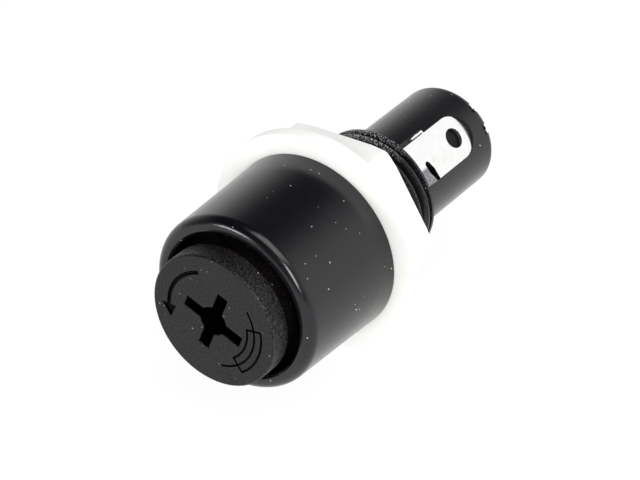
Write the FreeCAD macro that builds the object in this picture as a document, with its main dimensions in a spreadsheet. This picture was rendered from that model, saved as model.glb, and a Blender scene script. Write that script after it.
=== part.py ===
"""Panel-mounting holder for a 5 x 20 mm cartridge fuse.

Millimetres and degrees. +Y runs along the axis from the knob to the rear terminal, +Z is up, and the
origin is on the axis at the rear face of the head, where the panel sits. Angles around the axis run
from +X towards +Z, which is anticlockwise for someone who faces the knob.

The holder moulding and the two terminals are drawn with the side terminal on top (+Z) and are then
turned around the axis together by tag_turn.
"""

import FreeCAD, Part
import math
import os
import re

import Sketcher

SIZES = {
    # how far joined shapes run into each other, and cutters run out past a surface
    "overlap": 0.1,
    "run_out": 1.0,
    # head of the moulding: a slightly tapered cup around the knob
    "head_front": -12.35,
    "head_front_radius": 8.64,
    "head_rear_radius": 9.0,
    "head_rounding": 1.0,
    "mouth_radius": 7.2,
    "mouth_bevel": 0.25,
    "mouth_floor": -9.0,
    # neck that passes through the panel, and its thread
    "neck_radius": 6.35,
    "neck_end": 2.0,
    "thread_radius": 6.5,
    "thread_root_radius": 5.85,
    "thread_pitch": 1.2,
    "thread_root_width": 0.95,
    "thread_crest_width": 0.16,
    "thread_end": 10.55,
    "thread_collar": 0.45,
    "thread_collar_bevel": 0.18,
    # barrel and the bores inside it
    "barrel_radius": 5.25,
    "barrel_end": 22.85,
    "barrel_rounding": 0.8,
    "gate_scar_inner": 0.7,
    "gate_scar_outer": 1.65,
    "gate_scar_height": 4.4,
    "gate_scar_depth": 1.0,
    "carrier_bore_radius": 4.6,
    "carrier_bore_end": 9.0,
    "spring_bore_radius": 3.5,
    "spring_bore_end": 20.5,
    "rivet_hole_radius": 0.85,
    # helical bayonet: lugs on the carrier run in grooves in the moulding
    "bayonet_lead": 8.0,
    "lug_middle": -5.4,
    "lug_width": 1.2,
    "lug_rise": 0.9,
    "lug_radius": 5.6,
    "lug_gap": 0.15,
    # flanged hexagon nut
    "nut_front": 0.05,
    "nut_rear": 5.35,
    "nut_flange_radius": 10.95,
    "nut_flange_edge": 1.35,
    "nut_flange_top": 2.9,
    "nut_flats": 17.3,
    "nut_corner_rounding": 0.7,
    "nut_trim_start": 9.2,
    "nut_trim_reach": 10.6,
    "nut_trim_depth": 0.45,
    "nut_bore_radius": 6.6,
    "nut_turn": 2.4,
    # knob of the fuse carrier
    "knob_front": -15.2,
    "knob_radius": 6.6,
    "knob_bevel": 0.15,
    "knob_disc_rear": -12.95,
    "knob_body_radius": 5.75,
    "knob_body_rear": -9.2,
    "tube_radius": 4.52,
    "tube_end": -1.0,
    "slot_turn": 69.3,
    "slot_width": 1.1,
    "slot_reach": 3.15,
    "slot_hub_radius": 1.38,
    "slot_hub_rounding": 0.3,
    "slot_depth": 3.6,
    "slot_bevel": 0.07,
    "mark_depth": 0.16,
    "mark_line": 0.22,
    "mark_radius": 4.5,
    "mark_half_height": 0.75,
    "arrow_radius": 4.85,
    "arrow_line": 0.4,
    "arrow_head_width": 0.8,
    "arrow_tail_turn": 108,
    "arrow_head_turn": 180,
    "arrow_tip_turn": 196,
    "fuse_line_start": -79,
    "fuse_line_end": 34,
    "fuse_box_start": -54,
    "fuse_box_end": 9,
    # brass sleeve that grips the fuse
    "sleeve_front": -10.6,
    "sleeve_floor": 0.4,
    "sleeve_end": 3.0,
    "sleeve_radius": 3.2,
    "sleeve_bore_radius": 2.65,
    "sleeve_slit_width": 0.5,
    "sleeve_slit_start": -1.0,
    "sleeve_seat_gap": 0.03,
    # 5 x 20 mm glass fuse
    "fuse_front": -10.15,
    "fuse_length": 20.0,
    "fuse_cap_radius": 2.6,
    "fuse_cap_length": 5.3,
    "fuse_cap_wall": 0.22,
    "fuse_cap_rounding": 0.18,
    "fuse_glass_radius": 2.35,
    "fuse_glass_bore_radius": 1.75,
    "fuse_wire_radius": 0.1,
    "fuse_solder_radius": 1.1,
    "fuse_solder_length": 0.8,
    # terminals, made from one thickness of strip
    "strip_thickness": 0.4,
    "strip_gap": 0.05,
    "tag_turn": 47.5,
    "tag_width": 4.35,
    "tag_outer_face": 4.87,
    "tag_hole": 18.05,
    "tag_hole_radius": 1.0,
    "tag_hole_pocket": 0.12,
    "strip_front": 3.6,
    "finger_width": 2.6,
    "finger_tip": 0.4,
    "finger_touch": 1.6,
    "finger_touch_height": 3.35,
    "slit_mouth": 13.44,
    "slit_mouth_width": 0.16,
    "slit_inner": 13.2,
    "slit_inner_radius": 0.32,
    "slit_inner_side": 0.45,
    "slit_belly": 13.27,
    "slit_belly_radius": 0.42,
    "slit_belly_side": 1.1,
    "slit_well_depth": 0.9,
    "ear_slope_end": 12.85,
    "ear_drop": 0.2,
    "barb_front": 13.15,
    "barb_rear": 15.1,
    "barb_reach": 0.34,
    "barb_gap": 0.13,
    "end_tag_face": 2.0,
    "end_tag_hole": 26.7,
    "end_tag_base": 1.9,
    "end_tag_bend": 0.35,
    # sprung contact behind the fuse, and the rivet that carries the rear terminal
    "cup_front": 9.9,
    "cup_length": 3.0,
    "cup_radius": 3.42,
    "cup_wall": 0.35,
    "spring_radius": 2.5,
    "spring_wire_radius": 0.22,
    "spring_pitch": 1.35,
    "washer_radius": 3.3,
    "washer_thickness": 0.4,
    "rivet_radius": 0.8,
    "rivet_inner_head_radius": 1.4,
    "rivet_outer_head_radius": 1.25,
    "rivet_outer_head_top": 0.88,
    "rivet_head_thickness": 0.4,
}

SUBTRACTIVE = ("Groove", "Pocket", "SubtractiveHelix")
ADDITIVE = ("Pad", "AdditiveHelix")

doc = FreeCAD.newDocument("fuse_holder")
sheet = doc.addObject("Spreadsheet::Sheet", "sizes")
for row, (alias, size) in enumerate(SIZES.items(), start=1):
    sheet.set(f"A{row}", alias)
    sheet.set(f"B{row}", str(size))
    sheet.setAlias(f"B{row}", alias)
doc.recompute()


def value(expression):
    """Number that an expression over the sheet's cells gives."""
    return float(sheet.evalExpression(expression))


def cell(text):
    """Expression with the sheet's name put before each alias in it."""

    def full_name(found):
        word = found.group()
        return "sizes." + word if word in SIZES else word

    return re.sub("[a-z_]+", full_name, text)


def bind(thing, **properties):
    """Bind properties of a document object to expressions over the aliases."""
    for name, text in properties.items():
        thing.setExpression(name.replace("__", "."), cell(text))


def new_body(label, turn=None):
    """Body with its own label, turned around the Y axis by an expression."""
    body = doc.addObject("PartDesign::Body", label)
    body.Label = label
    if turn:
        body.Placement = FreeCAD.Placement(
            FreeCAD.Vector(), FreeCAD.Rotation(FreeCAD.Vector(0, 1, 0), value(cell(turn)))
        )
        bind(body, Placement__Rotation__Angle=turn)
    return body


def new_sketch(body, name, plane="XY_Plane", lift="0", turn="0"):
    """Sketch on one of the body's origin planes, lifted along its normal and turned in its plane."""
    sketch = body.newObject("Sketcher::SketchObject", name)
    support = next(part for part in body.Origin.OriginFeatures if part.Role == plane)
    sketch.AttachmentSupport = [(support, "")]
    sketch.MapMode = "FlatFace"
    spin = FreeCAD.Rotation(FreeCAD.Vector(0, 0, 1), value(cell(turn)))
    sketch.AttachmentOffset = FreeCAD.Placement(FreeCAD.Vector(0, 0, value(cell(lift))), spin)
    bind(sketch, AttachmentOffset__Base__z=lift)
    return sketch


def draw_outline(sketch, corners):
    """Closed outline of straight lines whose corners are pairs of expressions."""
    places = [[cell(text) for text in corner] for corner in corners]
    points = [FreeCAD.Vector(value(across), value(along), 0) for across, along in places]
    count = len(points)
    first = sketch.GeometryCount
    for index, point in enumerate(points):
        sketch.addGeometry(Part.LineSegment(point, points[(index + 1) % count]), False)
    for index, (point, place) in enumerate(zip(points, places)):
        line = first + index
        following = first + (index + 1) % count
        sketch.addConstraint(Sketcher.Constraint("Coincident", line, 2, following, 1))
        for kind, size, text in (("DistanceX", point.x, place[0]), ("DistanceY", point.y, place[1])):
            number = sketch.addConstraint(Sketcher.Constraint(kind, line, 1, size))
            sketch.setExpression(f"Constraints[{number}]", text)
    return sketch


def draw_circle(sketch, across, along, radius):
    """Circle whose centre and radius are expressions."""
    across, along, radius = cell(across), cell(along), cell(radius)
    centre = FreeCAD.Vector(value(across), value(along), 0)
    circle = sketch.addGeometry(
        Part.Circle(centre, FreeCAD.Vector(0, 0, 1), value(radius)), False
    )
    for constraint, text in (
        (Sketcher.Constraint("DistanceX", circle, 3, centre.x), across),
        (Sketcher.Constraint("DistanceY", circle, 3, centre.y), along),
        (Sketcher.Constraint("Radius", circle, value(radius)), radius),
    ):
        number = sketch.addConstraint(constraint)
        sketch.setExpression(f"Constraints[{number}]", text)
    return sketch


def shape_with(body, kind, sketch, backwards=False, **properties):
    """PartDesign feature made from a sketch; what turns goes round the sketch's own vertical axis."""
    feature = body.newObject("PartDesign::" + kind, sketch.Name + "_" + kind.lower())
    feature.Profile = sketch
    if kind in ("Revolution", "Groove"):
        feature.ReferenceAxis = (sketch, ["V_Axis"])
        feature.Angle = 360
    elif kind.endswith("Helix"):
        feature.ReferenceAxis = (sketch, ["V_Axis"])
        feature.Mode = 0
    else:
        feature.Reversed = backwards
    bind(feature, **properties)
    return feature


def turned_body(label, corners, turn=None):
    """Body whose outline of (radius, place along the axis) corners is turned around the Y axis."""
    body = new_body(label, turn)
    shape_with(body, "Revolution", draw_outline(new_sketch(body, label + "_outline"), corners))
    return body


def rectangle(left, right, low, high):
    """Corners of an upright rectangle."""
    return [(left, low), (right, low), (right, high), (left, high)]


def ring_edges(body, radius, along):
    """Names of the round edges on the axis with this radius and this place along it."""
    names = []
    for number, edge in enumerate(body.Tip.Shape.Edges, start=1):
        curve = edge.Curve
        if not isinstance(curve, Part.Circle):
            continue
        off = abs(curve.Radius - value(cell(radius))) + abs(curve.Center.y - value(cell(along)))
        if off + math.hypot(curve.Center.x, curve.Center.z) < 1e-4:
            names.append(f"Edge{number}")
    return names


def straight_edges(body, wanted):
    """Names of the straight edges whose middle passes a test."""
    names = []
    for number, edge in enumerate(body.Tip.Shape.Edges, start=1):
        if isinstance(edge.Curve, Part.Line):
            start, end = (corner.Point for corner in edge.Vertexes)
            if wanted((start + end) * 0.5, end - start):
                names.append(f"Edge{number}")
    return names


def dress_edges(body, kind, name, edges, size):
    """Fillet or chamfer on edges of the body as it stands."""
    feature = body.newObject("PartDesign::" + kind, name)
    feature.Base = (body.Tip if body.Tip is not feature else feature.BaseFeature, edges)
    bind(feature, **{"Radius" if kind == "Fillet" else "Size": size})
    return feature


def round_rings(body, kind, name, size, *rings):
    """Fillet or chamfer on round edges, each given by its radius and its place along the axis."""
    doc.recompute()
    edges = [edge for ring in rings for edge in ring_edges(body, *ring)]
    if len(edges) != len(rings):
        raise RuntimeError(f"{name}: found {len(edges)} edges, expected {len(rings)}")
    return dress_edges(body, kind, name, edges, size)


def along_axis(middle, span):
    """True for an edge that runs along the Y axis."""
    return abs(span.y) > 0.999 * span.Length


# ---------------------------------------------------------------- holder moulding and nut


def make_holder_body():
    """Head, neck, thread and barrel in one moulding, with the stepped bore for carrier and spring."""
    body = turned_body(
        "holder_body",
        [
            ("mouth_radius", "head_front"),
            ("head_front_radius", "head_front"),
            ("head_rear_radius", "0"),
            ("neck_radius", "0"),
            ("neck_radius", "neck_end"),
            ("thread_root_radius", "neck_end"),
            ("thread_root_radius", "thread_end - thread_collar - thread_collar_bevel"),
            ("thread_radius", "thread_end - thread_collar"),
            ("thread_radius", "thread_end - thread_collar_bevel"),
            ("thread_radius - thread_collar_bevel", "thread_end"),
            ("barrel_radius", "thread_end"),
            ("barrel_radius", "barrel_end"),
            ("rivet_hole_radius", "barrel_end"),
            ("rivet_hole_radius", "spring_bore_end"),
            ("spring_bore_radius", "spring_bore_end"),
            ("spring_bore_radius", "carrier_bore_end"),
            ("carrier_bore_radius", "carrier_bore_end"),
            ("carrier_bore_radius", "mouth_floor"),
            ("mouth_radius", "mouth_floor"),
        ],
        "tag_turn",
    )
    round_rings(body, "Fillet", "head_edge", "head_rounding", ("head_front_radius", "head_front"))
    round_rings(body, "Fillet", "barrel_edge", "barrel_rounding", ("barrel_radius", "barrel_end"))
    round_rings(body, "Chamfer", "mouth_edge", "mouth_bevel", ("mouth_radius", "head_front"))

    # recess for the tag, and the slit through which its strip reaches the carrier bore
    half = "( tag_width / 2 + strip_gap )"
    tag_floor = "tag_outer_face - strip_thickness - strip_gap"
    recess_depth = "head_rear_radius"
    flat = draw_outline(
        new_sketch(body, "tag_recess", lift=tag_floor),
        rectangle("0 - " + half, half, "thread_end", "tag_hole"),
    )
    shape_with(body, "Pocket", flat, backwards=True, Length=recess_depth)
    end = draw_circle(new_sketch(body, "tag_recess_end", lift=tag_floor), "0", "tag_hole", half)
    shape_with(body, "Pocket", end, backwards=True, Length=recess_depth)
    barb_side = draw_outline(
        new_sketch(body, "barb_recess", lift=tag_floor),
        rectangle(
            "0 - " + half + " - barb_reach - strip_gap", "0 - " + half, "thread_end", "barb_rear + barb_gap"
        ),
    )
    shape_with(body, "Pocket", barb_side, backwards=True, Length=recess_depth)
    pocket = draw_circle(
        new_sketch(body, "tag_hole_floor", lift=tag_floor), "0", "tag_hole", "tag_hole_radius"
    )
    shape_with(body, "Pocket", pocket, Length="tag_hole_pocket")
    well = draw_outline(
        new_sketch(body, "slit_well", lift=tag_floor),
        rectangle(
            "slit_inner_side - slit_inner_radius",
            "tag_width / 2",
            "slit_belly - slit_belly_radius - strip_gap",
            "slit_belly + slit_belly_radius + strip_gap",
        ),
    )
    shape_with(body, "Pocket", well, Length="slit_well_depth")
    # two bites out of the rear rim, where the moulding was broken off its sprue
    for side, sign in (("right", ""), ("left", "0 - ")):
        bite = draw_outline(
            new_sketch(body, f"gate_scar_{side}", "XZ_Plane", lift="0 - barrel_end"),
            rectangle(
                sign + "gate_scar_inner",
                sign + "gate_scar_outer",
                "gate_scar_height",
                "barrel_radius + strip_gap",
            ),
        )
        shape_with(body, "Pocket", bite, backwards=True, Length="gate_scar_depth")
    slit = draw_outline(
        new_sketch(body, "strip_slit", "XZ_Plane", lift="0 - finger_tip + strip_gap"),
        rectangle(
            "0 - " + half,
            half,
            "spring_bore_radius",
            "tag_outer_face + strip_gap",
        ),
    )
    shape_with(body, "Pocket", slit, Length="thread_end - finger_tip + 2 * strip_gap")

    # two helical grooves that let the lugs in from the mouth; they stop just behind the lugs at rest
    turned_by = "bayonet_lead * tag_turn / 360"
    low = "lug_middle - bayonet_lead - lug_width / 2 - lug_gap + " + turned_by
    high = "lug_middle - bayonet_lead + lug_width / 2 + lug_gap + " + turned_by
    for side, sign in (("right", ""), ("left", "0 - ")):
        corners = rectangle(
            sign + "( tube_radius - lug_gap )", sign + "( lug_radius + lug_gap )", low, high
        )
        groove = draw_outline(new_sketch(body, f"bayonet_groove_{side}"), corners)
        shape_with(
            body,
            "SubtractiveHelix",
            groove,
            Pitch="bayonet_lead",
            Height="bayonet_lead - bayonet_lead * tag_turn / 360 + lug_rise + lug_gap",
        )

    thread = draw_outline(
        new_sketch(body, "thread_ridge"),
        [
            ("thread_root_radius - overlap", "neck_end + strip_gap"),
            ("thread_root_radius - overlap", "neck_end + strip_gap + thread_root_width"),
            (
                "thread_radius",
                "neck_end + strip_gap + ( thread_root_width + thread_crest_width ) / 2",
            ),
            (
                "thread_radius",
                "neck_end + strip_gap + ( thread_root_width - thread_crest_width ) / 2",
            ),
        ],
    )
    shape_with(
        body,
        "AdditiveHelix",
        thread,
        Pitch="thread_pitch",
        Height="thread_end - neck_end - thread_root_width - thread_collar_bevel - 2 * strip_gap",
    )
    return body


def make_panel_nut():
    """Hexagon on a tapered round flange; its bore just clears the crest of the thread."""
    body = new_body("panel_nut", "0 - nut_turn")
    corner = "nut_flats / 2 / cos(30)"
    corners = [(f"{corner} * cos({turn})", f"{corner} * sin({turn})") for turn in range(0, 360, 60)]
    hexagon = draw_outline(new_sketch(body, "nut_hexagon", "XZ_Plane", lift="0 - nut_front"), corners)
    shape_with(body, "Pad", hexagon, backwards=True, Length="nut_rear - nut_front")
    doc.recompute()
    dress_edges(body, "Fillet", "nut_corners", straight_edges(body, along_axis), "nut_corner_rounding")
    flange = draw_outline(
        new_sketch(body, "nut_flange"),
        [
            ("0", "nut_front"),
            ("nut_flange_radius", "nut_front"),
            ("nut_flange_radius", "nut_flange_edge"),
            ("nut_flats / 2 - overlap", "nut_flange_top"),
            ("0", "nut_flange_top"),
        ],
    )
    shape_with(body, "Revolution", flange)
    trim = draw_outline(
        new_sketch(body, "nut_corner_trim"),
        [
            ("nut_trim_start", "nut_rear"),
            ("nut_trim_reach", "nut_rear"),
            ("nut_trim_reach", "nut_rear - nut_trim_depth"),
        ],
    )
    shape_with(body, "Groove", trim)
    bore = draw_circle(
        new_sketch(body, "nut_bore", "XZ_Plane", lift="0"), "0", "0", "nut_bore_radius"
    )
    shape_with(body, "Pocket", bore, Length="nut_rear + run_out")
    return body


# ---------------------------------------------------------------- fuse carrier


def make_mark(name, radius, width, start, end):
    """Arc-shaped cutter of one line of the marks in the knob's face, from one angle to another."""
    tools = []
    sweep = SIZES[end] - SIZES[start]
    for side, sign in (("outer", "+"), ("inner", "-")):
        sector = doc.addObject("Part::Cylinder", f"{name}_{side}")
        bind(
            sector,
            Radius=f"{radius} {sign} {width} / 2",
            Height="2 * mark_depth" if side == "outer" else "4 * mark_depth",
        )
        sector.Angle = sweep if side == "outer" else 360
        spin = FreeCAD.Rotation(FreeCAD.Vector(1, 0, 0), 90)
        spin = spin.multiply(FreeCAD.Rotation(FreeCAD.Vector(0, 0, 1), SIZES[start]))
        reach = "mark_depth" if side == "outer" else "2 * mark_depth"
        place = "knob_front + " + reach
        sector.Placement = FreeCAD.Placement(FreeCAD.Vector(0, value(cell(place)), 0), spin)
        bind(sector, Placement__Base__y=place)
        tools.append(sector)
    mark = doc.addObject("Part::Cut", name)
    mark.Base, mark.Tool = tools
    return mark


def make_stroke(name, turn):
    """Straight cutter across the fuse symbol's box, centred on a radius of the face."""
    stroke = doc.addObject("Part::Box", name)
    length = "2 * mark_half_height + mark_line / 2"
    bind(stroke, Length=length, Width="mark_line", Height="2 * mark_depth")
    corner = FreeCAD.Vector(
        value(cell("mark_radius - mark_half_height - mark_line / 4")), value(cell("0 - mark_line / 2"))
    )
    spin = FreeCAD.Rotation(FreeCAD.Vector(1, 0, 0), 90)
    spin = spin.multiply(FreeCAD.Rotation(FreeCAD.Vector(0, 0, 1), SIZES[turn]))
    start = spin.multVec(corner)
    start.y = value(cell("knob_front + mark_depth"))
    stroke.Placement = FreeCAD.Placement(start, spin)
    return stroke


def make_knob_marks():
    """Arc of the arrow that shows the way to open, and the symbol of a fuse bent around the face."""
    marks = [
        make_mark("arrow_arc", "arrow_radius", "arrow_line", "arrow_tail_turn", "arrow_head_turn"),
        make_mark("fuse_line", "mark_radius", "mark_line", "fuse_line_start", "fuse_line_end"),
    ]
    box = ("fuse_box_start", "fuse_box_end")
    for side, sign in (("outer", "+"), ("inner", "-")):
        radius = f"mark_radius {sign} mark_half_height"
        marks.append(make_mark(f"fuse_box_{side}", radius, "mark_line", *box))
    for side, turn in zip(("low", "high"), box):
        marks.append(make_stroke(f"fuse_box_{side}", turn))
    together = doc.addObject("Part::MultiFuse", "knob_marks")
    together.Shapes = marks
    return together


def make_carrier_knob():
    """Knob with its screwdriver cross, and the tube behind it with two bayonet lugs."""
    body = turned_body(
        "knob_moulding",
        [
            ("0", "knob_front"),
            ("knob_radius", "knob_front"),
            ("knob_radius", "knob_disc_rear"),
            ("knob_body_radius", "knob_disc_rear"),
            ("knob_body_radius", "knob_body_rear"),
            ("tube_radius", "knob_body_rear"),
            ("tube_radius", "tube_end"),
            ("sleeve_radius + sleeve_seat_gap", "tube_end"),
            ("sleeve_radius + sleeve_seat_gap", "sleeve_front - sleeve_seat_gap"),
            ("0", "sleeve_front - sleeve_seat_gap"),
        ],
    )
    round_rings(
        body,
        "Chamfer",
        "knob_edges",
        "knob_bevel",
        ("knob_radius", "knob_front"),
        ("knob_radius", "knob_disc_rear"),
    )
    face = "0 - knob_front"
    for name, turn in (("slot_first_arm", "slot_turn"), ("slot_second_arm", "slot_turn + 90")):
        arm = draw_outline(
            new_sketch(body, name, "XZ_Plane", lift=face, turn=turn),
            rectangle("0 - slot_reach", "slot_reach", "0 - slot_width / 2", "slot_width / 2"),
        )
        shape_with(body, "Pocket", arm, Length="slot_depth")
    hub = draw_circle(
        new_sketch(body, "slot_hub", "XZ_Plane", lift=face), "0", "0", "slot_hub_radius"
    )
    shape_with(body, "Pocket", hub, Length="slot_depth")
    doc.recompute()

    def beside_hub(middle, span):
        off = math.hypot(middle.x, middle.z) - value("slot_hub_radius")
        return along_axis(middle, span) and abs(off) < 1e-4

    corners = straight_edges(body, beside_hub)
    dress_edges(body, "Fillet", "slot_corners", corners, "slot_hub_rounding")
    doc.recompute()

    reach = value("slot_reach") + value("slot_width")
    rim = [
        f"Edge{number}"
        for number, edge in enumerate(body.Tip.Shape.Edges, start=1)
        if all(
            abs(corner.Y - value("knob_front")) < 1e-4 and math.hypot(corner.X, corner.Z) < reach
            for corner in edge.Vertexes
        )
    ]
    dress_edges(body, "Chamfer", "slot_rim", rim, "slot_bevel")
    arrow_head = draw_outline(
        new_sketch(body, "arrow_head", "XZ_Plane", lift=face),
        [
            (f"{radius} * cos({turn})", f"{radius} * sin({turn})")
            for radius, turn in (
                ("(arrow_radius + arrow_head_width)", "arrow_head_turn"),
                ("(arrow_radius - arrow_head_width)", "arrow_head_turn"),
                ("arrow_radius", "arrow_tip_turn"),
            )
        ],
    )
    shape_with(body, "Pocket", arrow_head, Length="mark_depth")
    for side, sign in (("right", ""), ("left", "0 - ")):
        lug = draw_outline(
            new_sketch(body, f"lug_{side}"),
            rectangle(
                sign + "( tube_radius - lug_gap )",
                sign + "lug_radius",
                "lug_middle - lug_width / 2",
                "lug_middle + lug_width / 2",
            ),
        )
        shape_with(body, "AdditiveHelix", lug, Pitch="bayonet_lead", Height="lug_rise")
    knob = doc.addObject("Part::Cut", "carrier_knob")
    knob.Label = "carrier_knob"
    knob.Base = body
    knob.Tool = make_knob_marks()
    return knob


def make_carrier_sleeve():
    """Brass sleeve, closed at the knob and slit into four fingers at its open end."""
    body = turned_body(
        "carrier_sleeve",
        [
            ("0", "sleeve_front"),
            ("sleeve_radius", "sleeve_front"),
            ("sleeve_radius", "sleeve_end"),
            ("sleeve_bore_radius", "sleeve_end"),
            ("sleeve_bore_radius", "sleeve_front + sleeve_floor"),
            ("0", "sleeve_front + sleeve_floor"),
        ],
    )
    half = "( sleeve_slit_width / 2 )"
    for name, plane in (("slit_upright", "XY_Plane"), ("slit_level", "YZ_Plane")):
        across = ("0 - " + half, half)
        along = ("sleeve_slit_start", "sleeve_end + run_out")
        sides = across + along if plane == "XY_Plane" else along + across
        slit = draw_outline(new_sketch(body, name, plane), rectangle(*sides))
        cut = shape_with(body, "Pocket", slit, Length="4 * sleeve_radius")
        cut.Midplane = True
    return body


# ---------------------------------------------------------------- fuse


def make_fuse_cap(label, outer, inwards):
    """Pressed metal cap; inwards is + or -, the way from its outer face to its open rim."""

    def at(distance):
        return f"{outer} {inwards} {distance}"

    body = turned_body(
        label,
        [
            ("0", at("0")),
            ("fuse_cap_radius", at("0")),
            ("fuse_cap_radius", at("fuse_cap_length")),
            ("fuse_cap_radius - fuse_cap_wall", at("fuse_cap_length")),
            ("fuse_cap_radius - fuse_cap_wall", at("fuse_cap_wall")),
            ("0", at("fuse_cap_wall")),
        ],
    )
    edge = ("fuse_cap_radius", outer)
    round_rings(body, "Fillet", label + "_edge", "fuse_cap_rounding", edge)
    return body


def make_fuse():
    """Glass tube, two caps, the fuse wire and the solder that joins it to the caps."""
    rear = "fuse_front + fuse_length"
    make_fuse_cap("fuse_front_cap", "fuse_front", "+")
    make_fuse_cap("fuse_rear_cap", rear, "-")
    turned_body(
        "fuse_glass_tube",
        rectangle(
            "fuse_glass_bore_radius",
            "fuse_glass_radius",
            "fuse_front + fuse_cap_wall",
            rear + " - fuse_cap_wall",
        ),
    )
    for label, base, inwards in (
        ("fuse_front_solder", "fuse_front + fuse_cap_wall", "+"),
        ("fuse_rear_solder", rear + " - fuse_cap_wall", "-"),
    ):
        tip = f"{base} {inwards} fuse_solder_length"
        turned_body(
            label,
            [("0", base), ("fuse_solder_radius", base), ("fuse_wire_radius * 2", tip), ("0", tip)],
        )
    turned_body(
        "fuse_wire",
        rectangle(
            "0",
            "fuse_wire_radius",
            "fuse_front + fuse_cap_wall + fuse_solder_length",
            rear + " - fuse_cap_wall - fuse_solder_length",
        ),
    )


# ---------------------------------------------------------------- terminals and rear contact


def make_tag(body, name, lift, near, hole):
    """Strip from one place along the axis to a fully round end about its soldering hole."""
    half = "( tag_width / 2 )"
    strip = draw_outline(
        new_sketch(body, name, lift=lift), rectangle("0 - " + half, half, near, hole)
    )
    shape_with(body, "Pad", strip, Length="strip_thickness")
    end = draw_circle(new_sketch(body, name + "_end", lift=lift), "0", hole, half)
    shape_with(body, "Pad", end, Length="strip_thickness")
    eye = draw_circle(new_sketch(body, name + "_eye", lift=lift), "0", hole, "tag_hole_radius")
    shape_with(body, "Pocket", eye, backwards=True, Length="strip_thickness")


def make_side_terminal():
    """Strip in the barrel's recess, with a slit beside the thread and a contact finger inside."""
    body = new_body("side_terminal", "tag_turn")
    inner = "tag_outer_face - strip_thickness"
    make_tag(body, "side_tag", inner, "strip_front", "tag_hole")
    edge = "( tag_width / 2 + run_out )"
    slit = draw_outline(
        new_sketch(body, "tag_slit", lift=inner),
        [
            ("slit_inner_side", "slit_inner - slit_inner_radius"),
            ("slit_inner_side", "slit_inner + slit_inner_radius"),
            ("slit_belly_side", "slit_belly + slit_belly_radius"),
            (edge, "slit_mouth + slit_mouth_width / 2"),
            (edge, "slit_mouth - slit_mouth_width / 2"),
            ("slit_belly_side", "slit_belly - slit_belly_radius"),
        ],
    )
    shape_with(body, "Pocket", slit, backwards=True, Length="strip_thickness")
    slit_end = draw_circle(
        new_sketch(body, "tag_slit_end", lift=inner),
        "slit_inner_side",
        "slit_inner",
        "slit_inner_radius",
    )
    shape_with(body, "Pocket", slit_end, backwards=True, Length="strip_thickness")
    # the ear beside the slit is bent down, and a barb is lanced from the other edge
    ear = draw_outline(
        new_sketch(body, "bent_ear", "YZ_Plane", lift="slit_inner_side"),
        [
            ("thread_end", "tag_outer_face + strip_gap"),
            ("thread_end", "tag_outer_face - ear_drop"),
            ("ear_slope_end", "tag_outer_face"),
            ("ear_slope_end", "tag_outer_face + strip_gap"),
        ],
    )
    shape_with(body, "Pocket", ear, backwards=True, Length="tag_width")
    side = "0 - tag_width / 2"
    barb = draw_outline(
        new_sketch(body, "lanced_barb", lift=inner),
        [
            (side + " + barb_gap", "barb_rear - 2 * barb_gap"),
            (side + " + barb_gap", "barb_rear"),
            (side + " - barb_reach", "barb_rear - barb_gap"),
            (side + " - barb_reach + barb_gap / 3", "( barb_front + barb_rear ) / 2 + barb_gap"),
            (side + " - barb_reach", "( barb_front + barb_rear ) / 2 - barb_gap"),
            (side + " - 2 * barb_gap", "barb_front"),
            (side + " - barb_gap", "barb_front + barb_gap"),
            (side + " - barb_gap", "barb_rear - 2 * barb_gap"),
        ],
    )
    shape_with(body, "Pad", barb, Length="strip_thickness")
    # the finger dips to the sleeve and rises again at its tip
    finger = draw_outline(
        new_sketch(body, "contact_finger", "YZ_Plane"),
        [
            ("strip_front", inner),
            ("finger_touch", "finger_touch_height"),
            ("finger_tip", "finger_touch_height + strip_thickness"),
            ("finger_tip", "finger_touch_height + 2 * strip_thickness"),
            ("finger_touch", "finger_touch_height + strip_thickness"),
            ("strip_front", "tag_outer_face"),
        ],
    )
    pad = shape_with(body, "Pad", finger, Length="finger_width")
    pad.Midplane = True
    return body


def make_end_terminal():
    """Bracket riveted to the end of the barrel, with a soldering tag that runs on along the axis."""
    body = new_body("end_terminal", "tag_turn")
    front = "barrel_end"
    base = draw_outline(
        new_sketch(body, "end_base", "XZ_Plane", lift="0 - " + front),
        rectangle("0 - tag_width / 2", "tag_width / 2", "0 - end_tag_face", "end_tag_base"),
    )
    shape_with(body, "Pad", base, backwards=True, Length="strip_thickness")
    make_tag(body, "end_tag", "0 - end_tag_face", front, "end_tag_hole")
    hole = draw_circle(
        new_sketch(body, "end_rivet_hole", "XZ_Plane", lift="0 - " + front),
        "0",
        "0",
        "rivet_hole_radius",
    )
    shape_with(body, "Pocket", hole, Length="2 * strip_thickness")
    doc.recompute()

    def outer_bend(middle, span):
        low = abs(middle.z + value(cell("end_tag_face"))) < 1e-4
        return low and abs(middle.y - value(cell(front))) < 1e-4 and abs(span.x) > 1

    edges = straight_edges(body, outer_bend)
    dress_edges(body, "Fillet", "end_bend", edges, "end_tag_bend")
    return body


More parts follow.
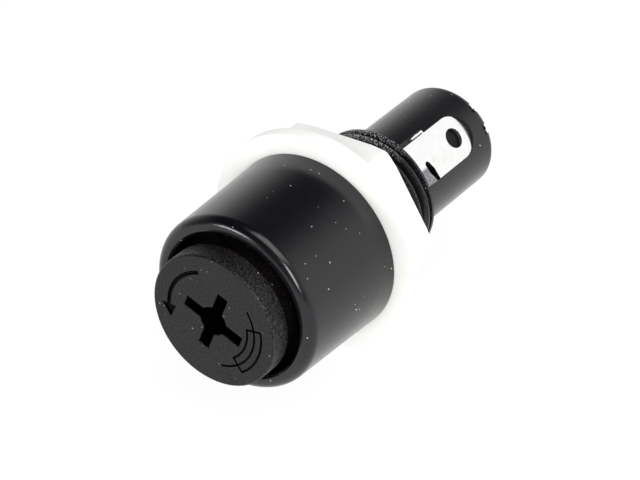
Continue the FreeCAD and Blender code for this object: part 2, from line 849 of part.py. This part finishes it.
def make_rear_contact():
    """Sprung cup that presses on the fuse, its coil spring, the spring's washer and the rivet."""
    rear = "cup_front + cup_length"
    cup = turned_body(
        "rear_contact_cup",
        [
            ("0", "cup_front"),
            ("cup_radius", "cup_front"),
            ("cup_radius", rear),
            ("cup_radius - cup_wall", rear),
            ("cup_radius - cup_wall", "cup_front + cup_wall"),
            ("0", "cup_front + cup_wall"),
        ],
    )
    round_rings(cup, "Fillet", "cup_edge", "cup_wall", ("cup_radius", "cup_front"))

    spring = new_body("rear_contact_spring")
    start = "cup_front + cup_wall + spring_wire_radius"
    washer_front = "spring_bore_end - washer_thickness"
    wire = draw_circle(new_sketch(spring, "spring_wire"), "spring_radius", start, "spring_wire_radius")
    shape_with(
        spring,
        "AdditiveHelix",
        wire,
        Pitch="spring_pitch",
        Height=f"{washer_front} - cup_front - cup_wall - 2 * spring_wire_radius",
    )

    turned_body(
        "spring_washer",
        rectangle("rivet_hole_radius", "washer_radius", washer_front, "spring_bore_end"),
    )
    head = "rivet_head_thickness"
    plate = "barrel_end + strip_thickness"
    turned_body(
        "terminal_rivet",
        [
            ("0", f"{washer_front} - {head}"),
            ("rivet_inner_head_radius", f"{washer_front} - {head}"),
            ("rivet_inner_head_radius", washer_front),
            ("rivet_radius", washer_front),
            ("rivet_radius", plate),
            ("rivet_outer_head_radius", plate),
            ("rivet_outer_head_top", f"{plate} + {head}"),
            ("0", f"{plate} + {head}"),
        ],
    )


# ---------------------------------------------------------------- checks and output


def check_features():
    """Stop at a failed object, and at a feature that added or cut nothing."""
    for thing in doc.Objects:
        if "Invalid" in thing.State or "Error" in thing.State:
            raise RuntimeError(f"{thing.Label} failed: {thing.State}")
        base = getattr(thing, "BaseFeature", None)
        if base is None or not thing.TypeId.startswith("PartDesign::"):
            continue
        kind = thing.TypeId.split("::")[1]
        change = thing.Shape.Volume - base.Shape.Volume
        if (kind in SUBTRACTIVE and change > -1e-4) or (kind in ADDITIVE and change < 1e-4):
            raise RuntimeError(f"{thing.Label} changed the volume by {change}")


NODES = (
    "holder_body",
    "panel_nut",
    "carrier_knob",
    "carrier_sleeve",
    "fuse_front_cap",
    "fuse_rear_cap",
    "fuse_glass_tube",
    "fuse_front_solder",
    "fuse_rear_solder",
    "fuse_wire",
    "side_terminal",
    "end_terminal",
    "rear_contact_cup",
    "rear_contact_spring",
    "spring_washer",
    "terminal_rivet",
)

make_holder_body()
make_panel_nut()
make_carrier_knob()
make_carrier_sleeve()
make_fuse()
make_side_terminal()
make_end_terminal()
make_rear_contact()
doc.recompute()
check_features()

os.makedirs("parts", exist_ok=True)
for label in NODES:
    shape = doc.getObjectsByLabel(label)[0].Shape
    if shape.isNull() or not shape.isValid() or len(shape.Solids) != 1:
        raise RuntimeError(f"{label}: not one valid solid")
    shape.exportStep(f"parts/{label}.step")
    print(f"{label}: {shape.Volume:.3f} mm3")
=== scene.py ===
"""Looks of the panel-mounting cartridge fuse holder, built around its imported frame."""

import math

import bpy
import numpy as np
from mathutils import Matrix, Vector


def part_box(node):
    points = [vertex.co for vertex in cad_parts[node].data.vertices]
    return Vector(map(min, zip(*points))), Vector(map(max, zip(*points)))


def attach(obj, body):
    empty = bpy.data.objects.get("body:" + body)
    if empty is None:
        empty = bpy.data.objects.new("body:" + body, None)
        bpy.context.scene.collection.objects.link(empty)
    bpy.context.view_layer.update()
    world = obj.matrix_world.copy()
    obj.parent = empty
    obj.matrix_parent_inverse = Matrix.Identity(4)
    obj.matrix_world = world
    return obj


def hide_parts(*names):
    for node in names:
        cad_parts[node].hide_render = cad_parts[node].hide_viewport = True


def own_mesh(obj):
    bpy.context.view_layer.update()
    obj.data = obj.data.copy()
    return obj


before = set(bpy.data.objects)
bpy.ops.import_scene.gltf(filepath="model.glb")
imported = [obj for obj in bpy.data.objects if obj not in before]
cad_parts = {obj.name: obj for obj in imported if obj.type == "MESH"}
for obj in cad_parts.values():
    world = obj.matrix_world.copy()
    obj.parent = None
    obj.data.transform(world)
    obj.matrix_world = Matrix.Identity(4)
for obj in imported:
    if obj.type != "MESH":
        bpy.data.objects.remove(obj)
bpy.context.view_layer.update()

MM = 0.001

# ------------------------------------------------------------------ frame

KNOB_FACE = Vector((0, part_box("carrier_knob")[0].y, 0))
FLOOR_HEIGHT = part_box("panel_nut")[0].z
FLOOR_REACH = 0.6
TABLE_GLOW = 0.92
CAMERA_OFFSET = Vector((131.3, -170.48, 153.3))
CAMERA_RISE = 33.94
CAMERA_TURN = 35.09
CAMERA_LENS = 168.75
CAMERA_SENSOR = 36
# the side tag's own directions: out of its face, and across it
TAG_TURN = math.radians(42.5)
TAG_OUT = Vector((math.cos(TAG_TURN), 0, math.sin(TAG_TURN)))
TAG_ACROSS = Vector((math.sin(TAG_TURN), 0, -math.cos(TAG_TURN)))
# places and sizes on the parts, which the finishes follow
TAG_HOLE = 18.05 * MM
TAG_RECESS_RADIUS = 2.27 * MM
THREAD_SCUFFED = 6.15 * MM
THREAD_START = 2.0 * MM
THREAD_END = 10.6 * MM
MOUTH_RADIUS = 7.3 * MM
MOUTH_END = -1 * MM
EAR_SIDE = 0.6 * MM
EAR_END = 13.1 * MM
KNOB_RIM = 5.7 * MM

# ------------------------------------------------------------------ colour and node helpers


def srgb(code, alpha=1.0):
    """Linear colour of an sRGB hex code."""
    parts = [int(code[i : i + 2], 16) / 255 for i in (0, 2, 4)]
    return [c / 12.92 if c <= 0.04045 else ((c + 0.055) / 1.055) ** 2.4 for c in parts] + [alpha]


def add(tree, kind, settings=None, **inputs):
    """Node of a kind with its settings; an input is a value, or an output socket to link from."""
    node = tree.nodes.new("ShaderNode" + kind)
    for name, setting in (settings or {}).items():
        setattr(node, name, setting)
    for name, given in inputs.items():
        key = int(name[1:]) if name[0] == "n" and name[1:].isdigit() else name.replace("_", " ")
        if isinstance(given, bpy.types.NodeSocket):
            tree.links.new(given, node.inputs[key])
        else:
            node.inputs[key].default_value = given
    return node


def new_material(name):
    """Empty material with a Principled shader joined to its output, and the object's coordinates."""
    material = bpy.data.materials.new(name)
    material.use_nodes = True
    tree = material.node_tree
    tree.nodes.clear()
    shader = add(tree, "BsdfPrincipled")
    output = add(tree, "OutputMaterial")
    tree.links.new(shader.outputs["BSDF"], output.inputs["Surface"])
    place = add(tree, "TexCoord").outputs["Object"]
    return material, tree, shader, place


def set_shader(shader, **values):
    """Constant values put straight on the shader's own sockets."""
    for name, given in values.items():
        shader.inputs[name.replace("_", " ")].default_value = given


def ramp(tree, fac, *stops):
    """Colour ramp through (position, colour) stops."""
    node = add(tree, "ValToRGB", Fac=fac)
    elements = node.color_ramp.elements
    while len(elements) < len(stops):
        elements.new(0.5)
    for element, (position, colour) in zip(elements, stops):
        element.position = position
        element.color = colour if len(colour) == 4 else [*colour, 1]
    return node.outputs["Color"]


def level(tree, fac, low, high, out_low, out_high):
    """Value moved from one range to another, held at its ends."""
    return add(
        tree, "MapRange", None, Value=fac, From_Min=low, From_Max=high, To_Min=out_low, To_Max=out_high
    ).outputs["Result"]


def noise(tree, place, size, detail=2.0, roughness=0.5, stretch=(1, 1, 1)):
    """Noise whose lumps measure size metres, stretched along the axes."""
    scaled = add(tree, "Mapping", None, Vector=place, Scale=[1 / s for s in stretch]).outputs[0]
    return add(
        tree, "TexNoise", None, Vector=scaled, Scale=1 / size, Detail=detail, Roughness=roughness
    ).outputs["Fac"]


def bump(tree, shader, height, depth, strength=1.0, normal=None):
    """Height pattern, 0 to 1, as a bump of a depth in metres; returns the bumped normal."""
    node = add(tree, "Bump", None, Strength=strength, Distance=depth, Height=height)
    if normal is not None:
        tree.links.new(normal, node.inputs["Normal"])
    tree.links.new(node.outputs["Normal"], shader.inputs["Normal"])
    return node.outputs["Normal"]


def dust(tree, place, spacing, share, size):
    """Ragged specks of dust, up to 1: cells of a spacing, of which a share hold a speck of a size."""
    ragged = add(tree, "TexNoise", None, Vector=place, Scale=2 / size, Detail=1.0).outputs["Color"]
    shift = add(tree, "VectorMath", {"operation": "SCALE"}, n0=ragged, Scale=1.2 * size).outputs[0]
    moved = add(tree, "VectorMath", {"operation": "ADD"}, n0=place, n1=shift).outputs[0]
    cells = add(tree, "TexVoronoi", None, Vector=moved, Scale=1 / spacing)
    near = level(tree, cells.outputs["Distance"], size / spacing * 0.5, size / spacing, 1, 0)
    chance = add(tree, "SeparateColor", None, Color=cells.outputs["Color"]).outputs
    picked = math_node(tree, "LESS_THAN", chance["Red"], share)
    strength = level(tree, chance["Green"], 0, 1, 0.1, 1)
    return both(tree, both(tree, near, picked), strength)


def math_node(tree, operation, first, second):
    """Result of one arithmetic step."""
    return add(tree, "Math", {"operation": operation}, n0=first, n1=second).outputs[0]


def distance_along(tree, place, direction):
    """Distance of a point along a direction from the origin."""
    return add(
        tree, "VectorMath", {"operation": "DOT_PRODUCT"}, n0=place, n1=direction
    ).outputs["Value"]


def distance_from_axis(tree, place):
    """Distance of a point from the part's own axis."""
    flat = add(tree, "VectorMath", {"operation": "MULTIPLY"}, n0=place, n1=(1, 0, 1)).outputs[0]
    return add(tree, "VectorMath", {"operation": "LENGTH"}, n0=flat).outputs["Value"]


def below(tree, fac, limit, blur=0.02 * MM):
    """1 where a value is below a limit, 0 above it, with a narrow blur between."""
    return level(tree, fac, limit - blur, limit + blur, 1, 0)


def above(tree, fac, limit, blur=0.02 * MM):
    """1 where a value is above a limit, 0 below it, with a narrow blur between."""
    return level(tree, fac, limit - blur, limit + blur, 0, 1)


def both(tree, first, second):
    """1 where two masks are both 1."""
    return math_node(tree, "MULTIPLY", first, second)


def mix(tree, fac, first, second):
    """Mix of two colours."""
    node = add(tree, "Mix", {"data_type": "RGBA"})
    for socket, given in zip((node.inputs[0], node.inputs[6], node.inputs[7]), (fac, first, second)):
        if isinstance(given, bpy.types.NodeSocket):
            tree.links.new(given, socket)
        else:
            socket.default_value = given
    return node.outputs[2]


# ------------------------------------------------------------------ materials


def moulded_black_plastic():
    """Black phenolic moulding: polished outside, with flow marks and dust, and a painted highlight in
    specks on the thread's crests, mostly on top.

    Inside the mouth it is matt, as the mould's core leaves it, and so is the recess under the tag.
    """
    material, tree, shader, place = new_material("moulded_black_phenolic")
    flow = noise(tree, place, 6 * MM, 3, 0.6, (1, 2.5, 1))
    tone = ramp(tree, flow, (0.3, srgb("050407")), (0.75, srgb("0c0a10")))
    specks = dust(tree, place, 0.8 * MM, 0.34, 0.09 * MM)
    dusty = mix(tree, specks, tone, srgb("e4e2de"))
    grain = noise(tree, place, 0.12 * MM, 3, 0.6)
    along = distance_along(tree, place, (0, 1, 0))
    # painted highlight: the outer half of the thread is lightened in specks, mostly on top
    out = distance_from_axis(tree, place)
    threaded = both(tree, above(tree, along, THREAD_START), below(tree, along, THREAD_END))
    crest = both(tree, above(tree, out, THREAD_SCUFFED), threaded)
    highlight_specks = level(tree, noise(tree, place, 0.14 * MM, 3, 0.75), 0.52, 0.6, 0, 1)
    brighter_on_top = level(tree, distance_along(tree, place, (-0.15, 0, 1)), 4.6 * MM, 6.3 * MM, 0.07, 1)
    crest_painted_highlight = both(tree, crest, both(tree, highlight_specks, brighter_on_top))
    # painted highlight: the crest specks are coloured light grey
    tree.links.new(mix(tree, crest_painted_highlight, dusty, srgb("b4b2b6")), shader.inputs["Base Color"])
    across = distance_along(tree, place, TAG_ACROSS)
    from_hole = add(
        tree, "CombineXYZ", None, X=across, Y=math_node(tree, "SUBTRACT", along, TAG_HOLE)
    ).outputs[0]
    hole_reach = add(tree, "VectorMath", {"operation": "LENGTH"}, n0=from_hole).outputs["Value"]
    outside = distance_along(tree, place, TAG_OUT)
    recess = both(
        tree, below(tree, hole_reach, TAG_RECESS_RADIUS), level(tree, outside, 0, 3 * MM, 0, 1)
    )
    in_mouth = both(tree, below(tree, out, MOUTH_RADIUS), below(tree, along, MOUTH_END))
    matt = math_node(tree, "MAXIMUM", recess, in_mouth)
    polish = level(tree, grain, 0.3, 0.7, 0.17, 0.26)
    tree.links.new(
        math_node(tree, "MAXIMUM", polish, level(tree, matt, 0, 1, 0, 0.6)), shader.inputs["Roughness"]
    )
    shine = math_node(
        tree, "MINIMUM", level(tree, recess, 0, 1, 0.5, 0.3), level(tree, in_mouth, 0, 1, 0.5, 0.06)
    )
    tree.links.new(shine, shader.inputs["Specular IOR Level"])
    lumps = bump(tree, shader, noise(tree, place, 1.6 * MM, 2, 0.5), 0.012 * MM, 0.4)
    bump(tree, shader, grain, 0.003 * MM, 0.4, lumps)
    set_shader(shader, IOR=1.5)
    return material


def textured_knob_plastic():
    """Dark warm grey knob with a fine spark-eroded grain that glitters on its rim.

    Its slot and its engraved marks carry painted shade: near-black, with their shine turned almost off.
    """
    material, tree, shader, place = new_material("spark_textured_grey_plastic")
    cloud = noise(tree, place, 2.5 * MM, 3, 0.6)
    tone = ramp(tree, cloud, (0.3, srgb("090607")), (0.75, srgb("110d0e")))
    specks = dust(tree, place, 0.6 * MM, 0.3, 0.075 * MM)
    depth = math_node(tree, "SUBTRACT", distance_along(tree, place, (0, 1, 0)), KNOB_FACE.y)
    out = distance_from_axis(tree, place)
    sunk = level(tree, depth, 0.03 * MM, 0.1 * MM, 0, 1)
    # painted shade: the slot and the engraved marks, sunk below the face inside the rim
    engraved = both(tree, sunk, below(tree, out, KNOB_RIM))
    rim = both(tree, sunk, above(tree, out, KNOB_RIM))
    dusty = mix(tree, specks, tone, srgb("b5b2ae"))
    # painted shade: the sunk marks are coloured near-black
    tree.links.new(mix(tree, engraved, dusty, srgb("020202")), shader.inputs["Base Color"])
    # grain of about 0.1 mm, drawn a little coarser than the real one so that it shows
    grain = noise(tree, place, 0.2 * MM, 4, 0.7)
    glint = level(tree, grain, 0.4, 0.62, 0.2, 0.42)
    rim_glint = level(tree, grain, 0.42, 0.66, 0.1, 1)
    gloss = mix(tree, rim, glint, rim_glint)
    tree.links.new(mix(tree, engraved, gloss, (0.03, 0.03, 0.03, 1)), shader.inputs["Specular IOR Level"])
    tree.links.new(level(tree, grain, 0.3, 0.7, 0.34, 0.5), shader.inputs["Roughness"])
    bump(tree, shader, grain, 0.05 * MM, 0.7)
    set_shader(shader, IOR=1.5)
    return material


def torn_plastic():
    """Torn black phenolic: rough and grainy, with painted glints: its highest lumps are coloured light
    grey where its edges would catch the light.
    """
    material, tree, shader, place = new_material("torn_black_phenolic")
    lumps = noise(tree, place, 0.25 * MM, 4, 0.7)
    # painted glints: the tops of the lumps turn light grey
    tone = ramp(tree, lumps, (0.4, srgb("08070a")), (0.62, srgb("1b1a20")), (0.7, srgb("8d8d95")))
    tree.links.new(tone, shader.inputs["Base Color"])
    tree.links.new(level(tree, lumps, 0.3, 0.7, 0.2, 0.45), shader.inputs["Roughness"])
    bump(tree, shader, lumps, 0.08 * MM, 0.9)
    set_shader(shader, IOR=1.5)
    return material


def natural_nylon():
    """Natural nylon: milky white, light soaks in at thin edges, with a soft moulded gloss."""
    material, tree, shader, place = new_material("natural_moulded_nylon")
    cloud = noise(tree, place, 4 * MM, 3, 0.55)
    tone = ramp(tree, cloud, (0.3, srgb("f6f8f1")), (0.75, srgb("fcfdf8")))
    tree.links.new(tone, shader.inputs["Base Color"])
    grain = noise(tree, place, 0.25 * MM, 3, 0.6)
    tree.links.new(level(tree, grain, 0.3, 0.7, 0.34, 0.48), shader.inputs["Roughness"])
    bump(tree, shader, grain, 0.006 * MM, 0.5)
    set_shader(shader, IOR=1.53, Subsurface_Weight=0.6, Subsurface_Scale=1.2 * MM)
    set_shader(shader, Subsurface_Radius=(1.0, 0.95, 0.85))
    return material


def tinned_brass():
    """Hot-tinned brass strip: bright, slightly wavy tin with fine scratches and brown tarnish.

    The side tag's ear, between its slit and the thread, carries painted shade: a mottled dull grey,
    standing in for the ear being bent down out of the light.
    """
    material, tree, shader, place = new_material("tinned_brass_strip")
    cloud = noise(tree, place, 1.2 * MM, 4, 0.6)
    tone = ramp(tree, cloud, (0.2, srgb("ece8e0")), (0.4, srgb("f8f8f7")), (0.8, srgb("fdfdfd")))
    along = distance_along(tree, place, (0, 1, 0))
    across = distance_along(tree, place, TAG_ACROSS)
    beside_slit = math_node(tree, "SUBTRACT", 0, across)
    # painted shade: the ear beside the slit is coloured a mottled grey
    ear = both(tree, below(tree, beside_slit, -EAR_SIDE, 0.15 * MM), below(tree, along, EAR_END))
    ear_shade_mottle = noise(tree, place, 0.15 * MM, 4, 0.75)
    dull = ramp(tree, ear_shade_mottle, (0.35, srgb("6a6a70")), (0.65, srgb("b4b4b8")))
    tree.links.new(mix(tree, ear, tone, dull), shader.inputs["Base Color"])
    scratches = noise(tree, place, 0.12 * MM, 3, 0.7, (1, 9, 1))
    tree.links.new(level(tree, scratches, 0.3, 0.7, 0.16, 0.28), shader.inputs["Roughness"])
    waves = bump(tree, shader, noise(tree, place, 0.9 * MM, 2, 0.5), 0.006 * MM, 0.4)
    bump(tree, shader, scratches, 0.004 * MM, 0.5, waves)
    set_shader(shader, Metallic=1.0)
    return material


def plain_brass():
    """Pressed brass: warm yellow metal with drawing lines along the axis and dull patches."""
    material, tree, shader, place = new_material("pressed_brass")
    cloud = noise(tree, place, 1.8 * MM, 4, 0.6)
    tone = ramp(tree, cloud, (0.3, srgb("b08a48")), (0.7, srgb("d9b66a")))
    tree.links.new(tone, shader.inputs["Base Color"])
    lines = noise(tree, place, 0.1 * MM, 3, 0.7, (1, 12, 1))
    tree.links.new(level(tree, lines, 0.3, 0.7, 0.22, 0.4), shader.inputs["Roughness"])
    bump(tree, shader, lines, 0.004 * MM, 0.5)
    set_shader(shader, Metallic=1.0)
    return material


def nickel_plate():
    """Nickel-plated fuse caps: cool bright metal with faint drawing lines and fingerprints."""
    material, tree, shader, place = new_material("nickel_plated_cap")
    cloud = noise(tree, place, 1.5 * MM, 3, 0.6)
    tone = ramp(tree, cloud, (0.3, srgb("c8c4bc")), (0.7, srgb("dcd9d3")))
    tree.links.new(tone, shader.inputs["Base Color"])
    lines = noise(tree, place, 0.09 * MM, 3, 0.7, (1, 10, 1))
    tree.links.new(level(tree, lines, 0.3, 0.7, 0.14, 0.3), shader.inputs["Roughness"])
    bump(tree, shader, lines, 0.003 * MM, 0.5)
    set_shader(shader, Metallic=1.0)
    return material


def spring_wire():
    """Bright drawn spring wire with fine die lines."""
    material, tree, shader, place = new_material("drawn_spring_steel")
    lines = noise(tree, place, 0.08 * MM, 3, 0.7)
    tone = ramp(tree, lines, (0.3, srgb("8f8f90")), (0.7, srgb("bcbcbc")))
    tree.links.new(tone, shader.inputs["Base Color"])
    tree.links.new(level(tree, lines, 0.3, 0.7, 0.2, 0.38), shader.inputs["Roughness"])
    bump(tree, shader, lines, 0.003 * MM, 0.4)
    set_shader(shader, Metallic=1.0)
    return material


def drawn_glass():
    """Clear drawn glass tube with faint lengthwise streaks."""
    material, tree, shader, place = new_material("drawn_glass_tube")
    streaks = noise(tree, place, 0.5 * MM, 2, 0.5, (1, 20, 1))
    tone = ramp(tree, streaks, (0.3, srgb("eef5f2")), (0.7, srgb("fbfdfc")))
    tree.links.new(tone, shader.inputs["Base Color"])
    tree.links.new(level(tree, streaks, 0.3, 0.7, 0.01, 0.04), shader.inputs["Roughness"])
    bump(tree, shader, streaks, 0.004 * MM, 0.3)
    set_shader(shader, IOR=1.5, Transmission_Weight=1.0)
    return material


def dull_solder():
    """Soft solder: dull grey metal, lightly frosted where it froze."""
    material, tree, shader, place = new_material("frozen_soft_solder")
    frost = noise(tree, place, 0.2 * MM, 4, 0.6)
    tone = ramp(tree, frost, (0.3, srgb("9a9a9c")), (0.7, srgb("c2c2c2")))
    tree.links.new(tone, shader.inputs["Base Color"])
    tree.links.new(level(tree, frost, 0.3, 0.7, 0.3, 0.5), shader.inputs["Roughness"])
    bump(tree, shader, frost, 0.02 * MM, 0.6)
    set_shader(shader, Metallic=1.0)
    return material


def finish_nodes():
    """Gives every CAD node its material."""
    brass, tin, nickel = plain_brass(), tinned_brass(), nickel_plate()
    solder = dull_solder()
    finishes = {
        "holder_body": moulded_black_plastic(),
        "carrier_knob": textured_knob_plastic(),
        "panel_nut": natural_nylon(),
        "side_terminal": tin,
        "end_terminal": tin,
        "terminal_rivet": tin,
        "carrier_sleeve": brass,
        "rear_contact_cup": brass,
        "spring_washer": brass,
        "fuse_front_cap": nickel,
        "fuse_rear_cap": nickel,
        "fuse_glass_tube": drawn_glass(),
        "fuse_wire": solder,
        "fuse_front_solder": solder,
        "fuse_rear_solder": solder,
    }
    for name, material in finishes.items():
        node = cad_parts[name]
        node.data.materials.clear()
        node.data.materials.append(material)


# ------------------------------------------------------------------ detail


def closed_tube(name, rings, material):
    """Mesh object of a closed tube: rings is an array (ring, point, xyz); both ends are capped."""
    count, around = rings.shape[:2]
    index = np.arange(count * around).reshape(count, around)
    near, far = index[:-1], index[1:]
    quads = np.stack([near, np.roll(near, -1, 1), np.roll(far, -1, 1), far], axis=-1).reshape(-1, 4)
    faces = [tuple(q) for q in quads.tolist()]
    faces += [tuple(index[0, ::-1].tolist()), tuple(index[-1].tolist())]
    mesh = bpy.data.meshes.new(name)
    mesh.from_pydata(rings.reshape(-1, 3).tolist(), [], faces)
    mesh.materials.append(material)
    mesh.shade_smooth()
    piece = bpy.data.objects.new(name, mesh)
    bpy.context.scene.collection.objects.link(piece)
    return piece


def torn_gate():
    """Torn plastic left where the sprue was broken off the rear rim.

    A tube of radius w is swept along the arc (R cos t, y, R sin t), with t from 23 to 62 degrees.
    w = taper (w0 + w1 n), n being a sum of sines of t and of the angle v around the tube, and
    taper = sin(pi u) ** blunt, held above a thin end, closes both ends as u runs from 0 to 1.
    """
    steps, around = 160, 24
    first, last = 23, 62
    radius, along = 4.86 * MM, 22.46 * MM
    thin, rough = 0.13 * MM, 0.0625 * MM
    blunt, thin_end = 0.4, 0.004
    u = np.linspace(0, 1, steps)[:, None]
    v = np.linspace(0, 2 * np.pi, around, endpoint=False)[None, :]
    turn = np.radians(first + (last - first) * u)
    ripple = np.sin(41 * u + 1.3) + 0.7 * np.sin(87 * u + 2 * v) + 0.5 * np.sin(151 * u - 3 * v + 0.6)
    taper = np.maximum(np.sin(np.pi * u), thin_end) ** blunt
    width = taper * (thin + rough * ripple)
    reach = radius + width * np.cos(v)
    points = np.stack(
        [reach * np.cos(turn), along + width * np.sin(v), reach * np.sin(turn)], axis=-1
    )
    piece = closed_tube("torn_gate_scar", points, torn_plastic())
    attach(piece, "holder")


def pressed_coil():
    """Coil spring behind the contact cup, built at one fixed length.

    A tube of the wire's radius r is swept along the helix c = (R cos a, y0 + p a / 2 pi, R sin a). Each
    point is c + r (e1 cos v + e2 sin v), with e1 = (cos a, 0, sin a) and e2 at right angles to e1 and to
    the helix.
    """
    radius, wire, pitch = 2.5 * MM, 0.22 * MM, 1.35 * MM
    front, rear = 10.27 * MM, 20.08 * MM
    turns = (rear - front - 2 * wire) / pitch
    steps_per_turn, around = 40, 14
    a = np.linspace(0, 2 * np.pi * turns, int(steps_per_turn * turns))[:, None]
    v = np.linspace(0, 2 * np.pi, around, endpoint=False)[None, :]
    rise = pitch / (2 * np.pi)
    length = math.hypot(radius, rise)
    tilt, upright = rise / length, radius / length
    reach = radius + wire * np.cos(v)
    sideways = wire * np.sin(v)
    points = np.stack(
        [
            reach * np.cos(a) + sideways * tilt * np.sin(a),
            front + wire + rise * a + sideways * upright,
            reach * np.sin(a) - sideways * tilt * np.cos(a),
        ],
        axis=-1,
    )
    piece = closed_tube("pressed_coil_spring", points, spring_wire())
    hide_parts("rear_contact_spring")
    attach(piece, "holder")
    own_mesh(piece)


# ------------------------------------------------------------------ stage, lights and camera


def light_table():
    """Milky diffuser of a light table: it glows white, so shadows on it stay faint."""
    material, tree, shader, place = new_material("milky_light_table")
    cloud = noise(tree, place, 9 * MM, 2, 0.5)
    tone = ramp(tree, cloud, (0.3, srgb("5c5c5c")), (0.7, srgb("626262")))
    tree.links.new(tone, shader.inputs["Base Color"])
    set_shader(shader, Roughness=0.9, Specular_IOR_Level=0.0)
    set_shader(shader, Emission_Color=(1, 1, 1, 1), Emission_Strength=TABLE_GLOW)
    return material


def make_floor():
    """Flat table top under the nut's lowest point, far wider than the view."""
    mesh = bpy.data.meshes.new("table_top")
    signs = ((-1, -1), (1, -1), (1, 1), (-1, 1))
    corners = [(x * FLOOR_REACH, y * FLOOR_REACH, FLOOR_HEIGHT) for x, y in signs]
    mesh.from_pydata(corners, [], [(0, 1, 2, 3)])
    mesh.materials.append(light_table())
    floor = bpy.data.objects.new("table_top", mesh)
    bpy.context.scene.collection.objects.link(floor)


def aim(thing, target):
    """Turns a light or camera so that it looks at a point."""
    thing.rotation_euler = (target - thing.location).to_track_quat("-Z", "Y").to_euler()


def make_lamp(name, azimuth, elevation, distance, width, height, radiance, mirrored=True):
    """Soft rectangular lamp in a direction: azimuth from +Y towards +X, then elevation, in degrees.

    A lamp that isn't mirrored lights the object but doesn't show in its reflections.
    """
    data = bpy.data.lights.new(name, "AREA")
    data.shape = "RECTANGLE"
    data.size, data.size_y = width, height
    data.energy = radiance * math.pi * width * height
    lamp = bpy.data.objects.new(name, data)
    turn, rise = math.radians(azimuth), math.radians(elevation)
    level_reach = distance * math.cos(rise)
    across, along = level_reach * math.sin(turn), level_reach * math.cos(turn)
    lamp.location = (across, along, distance * math.sin(rise))
    lamp.visible_glossy = mirrored
    bpy.context.scene.collection.objects.link(lamp)
    aim(lamp, Vector((0, 0, 0)))


def make_surround():
    """White tent: bright low down, and higher up on the right; dark overhead and at its open front."""
    world = bpy.data.worlds.new("white_tent")
    bpy.context.scene.world = world
    world.use_nodes = True
    tree = world.node_tree
    direction = add(tree, "TexCoord").outputs["Generated"]
    across, along, up = add(tree, "SeparateXYZ", None, Vector=direction).outputs
    height = math_node(tree, "ADD", up, math_node(tree, "MULTIPLY", across, -0.2))
    walls = ramp(
        tree,
        height,
        (0.0, (1, 1, 1)),
        (0.3, (0.96, 0.96, 0.96)),
        (0.5, (0.64, 0.64, 0.64)),
        (0.64, (0.33, 0.33, 0.34)),
        (0.74, (0.07, 0.07, 0.08)),
        (0.82, (0.04, 0.04, 0.05)),
    )
    open_front = level(tree, along, -0.5, 0.1, 0.12, 1)
    tent = mix(tree, open_front, (0, 0, 0, 1), walls)
    background = tree.nodes["Background"]
    tree.links.new(tent, background.inputs["Color"])
    background.inputs["Strength"].default_value = 1.1


def make_lamps():
    """Large lamp overhead, two strip boxes in front, tall and wide, and a big soft fill between them."""
    overhead = {"azimuth": 110, "elevation": 72, "distance": 0.5}
    right_front = {"azimuth": 134, "elevation": 25, "distance": 0.6}
    left_front = {"azimuth": 209, "elevation": 11, "distance": 0.6}
    middle = {"azimuth": 160, "elevation": 25, "distance": 0.6}
    make_lamp("overhead", **overhead, width=0.4, height=0.4, radiance=2.9)
    make_lamp("right_strip", **right_front, width=0.1, height=0.27, radiance=18)
    make_lamp("left_strip", **left_front, width=0.2, height=0.09, radiance=18)
    make_lamp("front_fill", **middle, width=0.5, height=0.4, radiance=2.3, mirrored=False)


def make_camera():
    """Long lens that looks down at the knob from the right of the axis."""
    data = bpy.data.cameras.new("camera")
    data.sensor_width = CAMERA_SENSOR
    data.lens = CAMERA_LENS
    data.clip_start = 0.01
    data.clip_end = 5
    camera = bpy.data.objects.new("camera", data)
    camera.location = KNOB_FACE + CAMERA_OFFSET * MM
    camera.rotation_euler = (math.radians(90 - CAMERA_RISE), 0, math.radians(CAMERA_TURN))
    bpy.context.scene.collection.objects.link(camera)
    bpy.context.scene.camera = camera


finish_nodes()
torn_gate()
pressed_coil()
make_floor()
make_surround()
make_lamps()
make_camera()
bpy.context.scene.view_settings.view_transform = "Standard"
